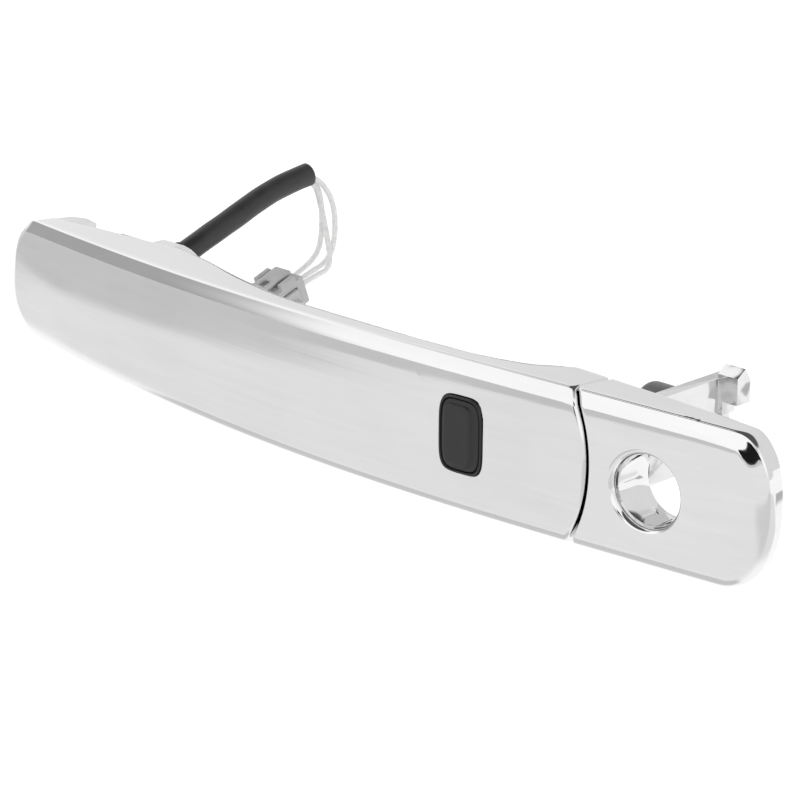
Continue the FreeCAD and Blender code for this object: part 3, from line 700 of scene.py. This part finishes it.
# inside: from the inner rim forward, then the inside of the front
last = base_w + (len(wall) - 2) * N
rin = rows_inset("grip", rows[0], info, WALL)
yin = front_height("grip", rin[:, 0], rin[:, 1], info)
b1 = len(verts)
verts.extend(np.column_stack([rin[:, 0], np.minimum(yin + 2.6, rim - 0.5), rin[:, 1]]))
faces_w += [(last + i, last + (i + 1) % N, b1 + (i + 1) % N, b1 + i) for i in range(N)]
JIN = len(rows) - 1
b2 = len(verts)
for j in range(JIN, NR):
    verts.extend(np.column_stack([FX[j], FY[j] + WALL, FZ[j]]))
faces_w += [(b1 + i, b1 + (i + 1) % N, b2 + (i + 1) % N, b2 + i) for i in range(N)]
in_faces = grid_faces(NR - JIN, N, b2)
verts = np.array(verts)

# the window for the switch, in both skins
SWX, SWZ = 169.0, 0.4
SW_A = math.atan(bow(169.5) - bow(168.5))
FACE_Y = bow(SWX) - 3.25


# chosen by row and column, so that its edge is four smooth lines
row_w = next(j for j in range(JIN, NR) if abs(FZ[j, :][part == 0] - SWZ).max() < 12.6)
w_lo, w_hi = (SWX - 8.6 - 30.0) / (201.0 - 30.0), (SWX + 8.6 - 30.0) / (201.0 - 30.0)
col_w = np.full(N, -1.0)
col_w[part == 0] = info["w"][::-1]
col_w[part == 2] = info["w"]


def in_window(k):
    j, i = divmod(k, N)
    a, b_ = col_w[i], col_w[(i + 1) % N]
    return j >= row_w and min(a, b_) >= w_lo and max(a, b_) <= w_hi and part[i] == part[(i + 1) % N]


gone = [k for k in range(len(front_faces)) if in_window(k)]
gone_set = set(gone)
gone_in = {k - JIN * N for k in gone}
faces = [f for k, f in enumerate(front_faces) if k not in gone_set] + faces_w + [f for k, f in enumerate(in_faces) if k not in gone_in]


def merged(verts, faces):
    """Vertices at one place become one, so that loops can be followed."""
    q = np.round(verts * 2e4).astype(np.int64)
    _, first, inv = np.unique(q, axis=0, return_index=True, return_inverse=True)
    inv = inv.ravel()
    out = []
    for f in faces:
        g = [int(first[inv[v]]) for v in f]
        g = [v for k, v in enumerate(g) if v != g[k - 1]]
        if len(set(g)) >= 3:
            out.append(tuple(g))
    return out


faces = merged(verts, faces)


def border(faces):
    count = {}
    for f in faces:
        for a, b in zip(f, f[1:] + f[:1]):
            k = (min(a, b), max(a, b))
            count[k] = count.get(k, 0) + 1
    return [k for k, c in count.items() if c == 1]


def rounded_rect(w, h, r, bulge, ang):
    """Distance from the middle to the edge of a rounded rectangle, in the directions ang; bulge is not used."""
    n = 4.4
    a, b = w / 2, h / 2
    c, s = np.abs(np.cos(ang)), np.abs(np.sin(ang))
    return (((c / a) ** n + (s / b) ** n) ** (-1 / n))


open_edges = border(faces)
ring = sorted({v for e in open_edges for v in e})
outer_ring = [v for v in ring if v < base_w]
inner_ring = [v for v in ring if v >= b2]


def order(ringv):
    a = np.arctan2(verts[ringv, 2] - SWZ, verts[ringv, 0] - SWX)
    k = np.argsort(a)
    return [ringv[i] for i in k], a[k]


outer_ring, ang_o = order(outer_ring)
inner_ring, ang_i = order(inner_ring)
patch = []
vlist = [tuple(v) for v in verts]


def add_ring(x, y, z):
    s = len(vlist)
    vlist.extend(zip(x, y, z))
    return list(range(s, s + len(x)))


def strip(a, b):
    n = len(a)
    return [(a[i], a[(i + 1) % n], b[(i + 1) % n], b[i]) for i in range(n)]


HOLE_W, HOLE_H = 11.7 * math.cos(SW_A), 17.3
start = verts[outer_ring]
R0 = np.hypot(start[:, 0] - SWX, start[:, 2] - SWZ)
R1 = rounded_rect(HOLE_W, HOLE_H, 3.6, 0, ang_o)
prev = outer_ring
for t in (0.25, 0.5, 0.72, 0.86, 0.95):
    R = R0 + (R1 + 0.32 - R0) * t
    x, z = SWX + R * np.cos(ang_o), SWZ + R * np.sin(ang_o)
    y = front_height("grip", x, z, info)
    cur = add_ring(x, y, z)
    patch += strip(prev, cur)
    prev = cur
for out_, dy in ((0.32, 0.0), (0.20, 0.02), (0.11, 0.07), (0.04, 0.16), (0.0, 0.30), (0.0, 1.2), (0.0, 1.85)):
    R = R1 + out_
    x, z = SWX + R * np.cos(ang_o), SWZ + R * np.sin(ang_o)
    y = front_height("grip", x, z, info) + dy
    cur = add_ring(x, y, z)
    patch += strip(prev, cur)
    prev = cur
R = R1 + 0.2
x, z = SWX + R * np.cos(ang_o), SWZ + R * np.sin(ang_o)
cur = add_ring(x, front_height("grip", x, z, info) + WALL, z)
patch += strip(prev, cur)
prev = cur
assert len(inner_ring) == len(outer_ring)
patch += strip(prev, inner_ring)
faces = faces + patch

# screw bosses on the inside
n = 28
aa = np.linspace(0, 2 * np.pi, n, endpoint=False)
for bx, bz, yb in ((33.0, 4.0, 12.5), (66.5, -6.0, 12.0), (150.4, -5.0, None), (193.0, 11.6, 12.5)):
    yf = bow(bx) - 3.25 + WALL - 0.5
    if yb is None:
        yb = float(rim_y(np.array([bx]))[0]) + 2.6
    prev = None
    first = None
    for r, y in ((2.6, yf), (2.6, yb - 0.1), (2.5, yb), (1.35, yb), (1.25, yb - 0.1), (1.25, max(yb - 6.0, yf + 1.0))):
        cur = add_ring(bx + r * np.cos(aa), np.full(n, y), bz + r * np.sin(aa))
        if prev is not None:
            faces += strip(prev, cur)
        else:
            first = cur
        prev = cur
    faces.append(tuple(first))
    faces.append(tuple(prev))

grip_cover = make_object("cover_of_grip", ROW(np.array(vlist)), faces, CHROME_GRIP, "grip", 40.0)
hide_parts("grip_cover")


# ------------------------------------------------------------------ the chrome cap
_inset.clear()
rows, info = perimeter_rows("cap")
N = info["n"]
KX, KZ, KR = 215.7, -1.7, 7.6
LIP = 1.25
LF = LIP / 1.75
ang = np.arctan2(rows[-1][:, 1] - KZ, rows[-1][:, 0] - KX)
circle = np.column_stack([KX + (KR + LIP + 0.5) * np.cos(ang), KZ + (KR + LIP + 0.5) * np.sin(ang)])
front = list(rows)
for t in (0.07, 0.15, 0.24, 0.34, 0.45, 0.56, 0.67, 0.78, 0.87, 0.94, 1.0):
    front.append(rows[-1] * (1 - t) + circle * t)
FX = np.array([r[:, 0] for r in front])
FZ = np.array([r[:, 1] for r in front])
FY = front_height("cap", FX, FZ, info)
wall, deep, rim = wall_rows("cap", rows, info, FY[0])
vlist, faces = [], []
front_rings = [add_ring(FX[j], FY[j], FZ[j]) for j in range(len(front))]
for a, b in zip(front_rings, front_rings[1:]):
    faces += strip(a, b)
# a soft raised shoulder round the hole, then the rolled lip and the bore
prev = front_rings[-1]
yk = FY[-1]
cx, cz = np.cos(ang), np.sin(ang)
for r, dy in ((LIP + 0.30, -0.01), (LIP + 0.12, -0.03), (LIP - 0.06 * LF, -0.02), (LIP - 0.26 * LF, 0.04), (LIP - 0.48 * LF, 0.15), (LIP - 0.72 * LF, 0.32),
              (LIP - 0.96 * LF, 0.56), (LIP - 1.18 * LF, 0.86), (LIP - 1.38 * LF, 1.24), (LIP - 1.55 * LF, 1.74), (LIP - 1.67 * LF, 2.30), (0.03, 3.0), (0.0, 3.5), (0.0, 4.0), (0.0, 5.6), (0.0, 7.2)):
    cur = add_ring(KX + (KR + r) * cx, yk + dy, KZ + (KR + r) * cz)
    faces += strip(prev, cur)
    prev = cur
for r, y in ((0.0, 15.35), (0.12, 15.5), (1.85, 15.5), (2.0, 15.35)):
    cur = add_ring(KX + (KR + r) * cx, np.full(N, y), KZ + (KR + r) * cz)
    faces += strip(prev, cur)
    prev = cur
cur = add_ring(KX + (KR + 2.0) * cx, yk + 2.6, KZ + (KR + 2.0) * cz)
faces += strip(prev, cur)
prev = cur
inner_front = rows_inset("cap", rows[0], info, 3.4)
for t in (0.12, 0.4, 0.75, 1.0):
    start_c = np.column_stack([KX + (KR + 2.05) * cx, KZ + (KR + 2.05) * cz])
    p = start_c * (1 - t) + inner_front * t
    y = front_height("cap", p[:, 0], p[:, 1], info) + WALL
    cur = add_ring(p[:, 0], y, p[:, 1])
    faces += strip(prev, cur)
    prev = cur
rin = rows_inset("cap", rows[0], info, WALL)
cur = add_ring(rin[:, 0], front_height("cap", rin[:, 0], rin[:, 1], info) + 2.7, rin[:, 1])
faces += strip(prev, cur)
prev = cur
for r in wall[1:][::-1]:
    cur = add_ring(r[:, 0], r[:, 1], r[:, 2])
    faces += strip(prev, cur)
    prev = cur
faces += strip(prev, front_rings[0])
cap_cover = make_object("cover_of_cap", ROW(np.array(vlist)), faces, CHROME_CAP, "cap", 40.0)
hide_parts("cap_cover")


# ------------------------------------------------------------------ the request switch
def from_switch(p):
    """Points of the switch's own frame (X, Y out of the door negative, Z) in the layout frame."""
    p = np.asarray(p, float)
    c, s = math.cos(SW_A), math.sin(SW_A)
    return np.column_stack([SWX + p[:, 0] * c - p[:, 1] * s, FACE_Y + p[:, 0] * s + p[:, 1] * c, SWZ + p[:, 2]])


def loops_object(name, loops, mat, body, closed_ends=(True, True), sharp=60.0, ringed=False):
    """Rings of the same number of points joined one to the next."""
    n = len(loops[0])
    v = from_switch(np.concatenate(loops))
    f = []
    m = len(loops)
    for j in range(m if ringed else m - 1):
        for i in range(n):
            k = (i + 1) % n
            a, b = j, (j + 1) % m
            f.append((a * n + i, a * n + k, b * n + k, b * n + i))
    if closed_ends[0]:
        f.append(tuple(range(n)))
    if closed_ends[1]:
        f.append(tuple((m - 1) * n + i for i in range(n)))
    return make_object(name, ROW(v), f, mat, body, sharp)


NA = 144
SA = np.linspace(0, 2 * np.pi, NA, endpoint=False)


def ring_at(w, h, y, dx=0.0, dz=0.0, power=4.4, tilt=0.0):
    c, s = np.cos(SA), np.sin(SA)
    r = ((np.abs(c) / (w / 2)) ** power + (np.abs(s) / (h / 2)) ** power) ** (-1 / power)
    x, z = r * c, r * s
    return np.column_stack([x + dx, np.full(NA, y) + tilt * x, z + dz])


W, H = 11.6, 17.2
bez = [ring_at(W, H, 3.0), ring_at(W, H, 0.10), ring_at(W - 0.05, H - 0.05, -0.06), ring_at(W - 0.18, H - 0.18, -0.17), ring_at(W - 0.38, H - 0.38, -0.23),
       ring_at(W - 0.62, H - 0.62, -0.24), ring_at(W - 0.86, H - 0.86, -0.19), ring_at(W - 1.04, H - 1.04, -0.10), ring_at(W - 1.14, H - 1.14, 0.03),
       ring_at(W - 1.2, H - 1.2, 0.4), ring_at(W - 1.2, H - 1.2, 3.0)]
bezel = loops_object("bezel_ring", bez, BEZEL, "grip", (False, False), 50.0, True)
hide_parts("switch_bezel")

bw, bh = W - 1.42, H - 1.42
but = [ring_at(bw - 0.1, bh - 0.1, 1.85), ring_at(bw, bh, 1.75), ring_at(bw, bh, 0.30), ring_at(bw - 0.06, bh - 0.06, 0.10), ring_at(bw - 0.22, bh - 0.22, -0.06),
       ring_at(bw - 0.5, bh - 0.5, -0.14), ring_at(bw - 0.9, bh - 0.9, -0.18), ring_at(bw - 1.4, bh - 1.25, -0.20, -0.04), ring_at(bw - 2.1, bh - 1.6, -0.23, -0.18),
       ring_at(bw - 2.5, bh - 1.85, -0.36, -0.30, 0, 5.0), ring_at(bw - 2.74, bh - 2.05, -0.62, -0.38, 0, 5.4), ring_at(bw - 2.96, bh - 2.25, -0.82, -0.42, 0, 5.6),
       ring_at(bw - 3.3, bh - 2.6, -0.93, -0.44, 0, 5.6), ring_at(bw - 3.9, bh - 3.2, -0.97, -0.44, 0, 5.4), ring_at(bw - 4.8, bh - 4.6, -0.96, -0.40, 0, 5.0),
       ring_at(bw - 6.0, bh - 7.5, -0.94, -0.3, 0, 4.4), ring_at(bw - 7.6, bh - 11.0, -0.92, -0.1, 0, 4.0), ring_at(0.9, 2.0, -0.91, 0, 0, 3.0)]
button = loops_object("button_cap", but, BUTTON, "request_button", (True, True), 60.0)
stem = []
for r, y in ((0.95, 1.80), (1.0, 1.9), (1.0, 3.45), (0.85, 3.6)):
    stem.append(np.column_stack([r * np.cos(SA), np.full(NA, y), r * np.sin(SA)]))
stem_o = loops_object("button_stem", stem, BUTTON, "request_button")
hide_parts("switch_button")


# ------------------------------------------------------------------ moulded pieces with broken edges
def softened(node, name, mat, body, width, segments=3, angle=32.0):
    """The CAD piece's own shape with its sharp moulded edges rounded off."""
    src = NODES[node]
    me = src.data.copy()
    bm = bmesh.new()
    bm.from_mesh(me)
    bmesh.ops.remove_doubles(bm, verts=bm.verts, dist=1e-6)
    bmesh.ops.dissolve_limit(bm, angle_limit=math.radians(1.5), verts=bm.verts, edges=bm.edges)
    bmesh.ops.recalc_face_normals(bm, faces=bm.faces)
    for f in bm.faces:
        f.smooth = True
    bm.to_mesh(me)
    bm.free()
    if me.has_custom_normals:
        me.free_normals_split() if hasattr(me, "free_normals_split") else None
    me.materials.clear()
    me.materials.append(mat)
    o = link(bpy.data.objects.new(name, me))
    b = o.modifiers.new("round", "BEVEL")
    b.width = width
    b.segments = segments
    b.limit_method = "ANGLE"
    b.angle_limit = math.radians(angle)
    b.use_clamp_overlap = True
    b.harden_normals = False
    dg = bpy.context.evaluated_depsgraph_get()
    done = bpy.data.meshes.new_from_object(o.evaluated_get(dg))
    o.modifiers.clear()
    o.data = done
    bm = bmesh.new()
    bm.from_mesh(done)
    for f in bm.faces:
        f.smooth = True
    for e in bm.edges:
        e.smooth = not (len(e.link_faces) == 2 and e.calc_face_angle(0) > math.radians(38))
    bm.to_mesh(done)
    bm.free()
    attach(o, body)
    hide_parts(node)
    return o


plug = softened("connector_housing", "plug_housing", PLUG, "grip", 0.00045, 3)
lever = softened("connector_lock_lever", "plug_lever", PLUG_LEVER, "plug_lever", 0.0005, 4)
retainer = softened("connector_retainer", "plug_retainer", RETAINER, "grip", 0.00028, 3)
arm = softened("pull_arm", "pull_arm_part", ARM, "grip", 0.0005, 3)
hook = softened("cap_frame", "hook_frame", CHROME_FRAME, "cap", 0.00028, 3)
base = softened("grip_base", "base_of_grip", BASE, "grip", 0.0005, 3)

for (w, pts), far in zip(wires, ("connector", "object", "object")):
    p = line_of(pts)


# ------------------------------------------------------------------ floor and light
def plane(name, size, z, mat):
    me = bpy.data.meshes.new(name)
    me.from_pydata([(-size, -size, z), (size, -size, z), (size, size, z), (-size, size, z)], [], [(0, 1, 2, 3)])
    me.materials.append(mat)
    return link(bpy.data.objects.new(name, me))


FLOOR_Z = -0.165
fm, nt, b = new_mat("floor")
tc = nt.nodes.new("ShaderNodeTexCoord")
# painted shade: the floor's glow falls off far out towards the hinge end and the camera side, so the chrome front
# reflects a darker band
dist = nt.nodes.new("ShaderNodeVectorMath")
dist.operation = "DOT_PRODUCT"
dist.inputs[1].default_value = (-0.86, -0.51, 0.0)
nt.links.new(tc.outputs["Object"], dist.inputs[0])
shade = remap(nt, dist.outputs["Value"], 0.68, 0.78, 1.0, 0.50)
nt.nodes[-1].interpolation_type = "SMOOTHSTEP"
# painted shade: the floor's glow is dimmer on the camera's side of the object, where the chrome front sees it
back = nt.nodes.new("ShaderNodeVectorMath")
back.operation = "DOT_PRODUCT"
back.inputs[1].default_value = (0.0, 1.0, 0.0)
nt.links.new(tc.outputs["Object"], back.inputs[0])
painted_front_shade = remap(nt, back.outputs["Value"], -0.14, 0.02, 0.52, 0.74)
nt.nodes[-1].interpolation_type = "SMOOTHSTEP"
mul = nt.nodes.new("ShaderNodeMath")
mul.operation = "MULTIPLY"
nt.links.new(painted_front_shade, mul.inputs[1])
nt.links.new(shade, mul.inputs[0])


def paint_shade_on_floor(x0, x1, y0, y1, soft, level, value):
    """Painted shade: a soft-edged darker rectangle in the floor's glow, outside the camera's view."""
    sep = nt.nodes.new("ShaderNodeSeparateXYZ")
    nt.links.new(tc.outputs["Object"], sep.inputs[0])
    fac = None
    for axis, lo, hi in (("X", x0, x1), ("Y", y0, y1)):
        for a, b_ in ((lo, lo + soft), (hi, hi - soft)):
            r = remap(nt, sep.outputs[axis], a, b_, 0.0, 1.0)
            nt.nodes[-1].interpolation_type = "SMOOTHSTEP"
            if fac is None:
                fac = r
            else:
                m = nt.nodes.new("ShaderNodeMath")
                m.operation = "MULTIPLY"
                nt.links.new(fac, m.inputs[0])
                nt.links.new(r, m.inputs[1])
                fac = m.outputs[0]
    m = nt.nodes.new("ShaderNodeMath")
    m.operation = "MULTIPLY"
    nt.links.new(remap(nt, fac, 0.0, 1.0, 1.0, level), m.inputs[0])
    nt.links.new(value, m.inputs[1])
    return m.outputs[0]


painted_floor_glow = paint_shade_on_floor(-0.36, 0.04, -0.10, 0.015, 0.03, 0.45, mul.outputs[0])     # painted shadow: the object's own soft shade on the floor
painted_floor_glow = paint_shade_on_floor(0.18, 0.40, 0.37, 0.62, 0.03, 0.18, painted_floor_glow)                    # painted shade: a dark patch in the floor's glow behind the right end, standing in for a dark card
painted_floor_glow = paint_shade_on_floor(0.10, 0.80, -0.50, 0.33, 0.08, 0.66, painted_floor_glow)                   # painted shade: a grey patch in the floor's glow beside the right end, standing in for a grey card
# painted light: the floor glows at the strength worked out above, painted shade included; its own colour is a plain
# grey
b.inputs["Base Color"].default_value = (0.46, 0.46, 0.46, 1)
b.inputs["Roughness"].default_value = 0.9
b.inputs["Specular IOR Level"].default_value = 0.1
b.inputs["Emission Color"].default_value = (1, 1, 1, 1)
nt.links.new(painted_floor_glow, b.inputs["Emission Strength"])
floor = plane("floor", 6.0, FLOOR_Z, fm)

world = bpy.data.worlds.new("studio")
bpy.context.scene.world = world
world.use_nodes = True
nt = world.node_tree
bg = nt.nodes["Background"]
tc = nt.nodes.new("ShaderNodeTexCoord")


def dot(v):
    v = Vector(v).normalized()
    d = nt.nodes.new("ShaderNodeVectorMath")
    d.operation = "DOT_PRODUCT"
    d.inputs[1].default_value = v
    nt.links.new(tc.outputs["Generated"], d.inputs[0])
    return d.outputs["Value"]


def between(fac, a, b, c, d, smooth=True):
    r = remap(nt, fac, a, b, c, d)
    nt.nodes[-1].interpolation_type = "SMOOTHSTEP" if smooth else "LINEAR"
    return r


def mix(fac, a, b):
    m = nt.nodes.new("ShaderNodeMix")
    m.data_type = "FLOAT"
    nt.links.new(fac, m.inputs["Factor"])
    for s, v in (("A", a), ("B", b)):
        if isinstance(v, (int, float)):
            m.inputs[s].default_value = v
        else:
            nt.links.new(v, m.inputs[s])
    return m.outputs["Result"]


def times(a, b):
    m = nt.nodes.new("ShaderNodeMath")
    m.operation = "MULTIPLY"
    nt.links.new(a, m.inputs[0])
    if isinstance(b, (int, float)):
        m.inputs[1].default_value = b
    else:
        nt.links.new(b, m.inputs[1])
    return m.outputs[0]


height = dot((0, 0, 1))
value = mix(between(dot((0.35, 1.0, 0.0)), -0.2, 0.6, 0, 1), 1.20, 0.84)      # the far side is a little dimmer
value = mix(between(dot((-0.93, -0.37, 0.0)), 0.84, 0.975, 0, 1), value, 0.46)  # a grey wall on the hinge side
value = mix(times(between(height, 0.68, 0.77, 0, 1), between(dot((-0.6, -0.02, 0.8)), 0.970, 0.985, 1, 0)), value, 0.10)   # a dark ceiling with one light panel
vec = nt.nodes.new("ShaderNodeMapping")
nt.links.new(tc.outputs["Generated"], vec.inputs["Vector"])
wob = noise(nt, vec.outputs["Vector"], 5.0, 4.0, 0.6, 0.8)
wob = between(wob, 0.35, 0.65, -0.06, 0.06, False)


def shifted(a, k):
    m = nt.nodes.new("ShaderNodeMath")
    m.operation = "MULTIPLY_ADD"
    m.inputs[1].default_value = k
    nt.links.new(wob, m.inputs[0])
    nt.links.new(a, m.inputs[2])
    return m.outputs[0]


def absol(a):
    m = nt.nodes.new("ShaderNodeMath")
    m.operation = "ABSOLUTE"
    nt.links.new(a, m.inputs[0])
    return m.outputs[0]


# the dark opening that the camera looks through, and a dark flag beside it
for d0, w0, h0, level in (((0.50, -0.74, 0.46), 0.15, 0.13, 0.03), ((0.17, -0.985, 0.02), 0.15, 0.15, 0.012)):
    d0 = Vector(d0).normalized()
    r0 = d0.cross(Vector((0, 0, 1))).normalized()
    u0 = r0.cross(d0).normalized()
    fd, fr_, fu = dot(d0), dot(r0), dot(u0)
    inside = times(times(between(absol(shifted(fr_, 0.5)), w0, w0 + 0.03, 1, 0), between(absol(shifted(fu, 0.5)), h0, h0 + 0.03, 1, 0)), between(fd, 0.3, 0.35, 0, 1))
    value = mix(inside, value, level)
nt.links.new(value, bg.inputs["Strength"])
bg.inputs["Color"].default_value = (1, 1, 1, 1)

sun = bpy.data.lights.new("overhead", "SUN")
sun.energy = 1.0
sun.angle = math.radians(70)
so = link(bpy.data.objects.new("overhead", sun))
so.rotation_euler = (math.radians(18), math.radians(-14), 0)
so.visible_glossy = False

bpy.context.scene.view_settings.view_transform = "Standard"
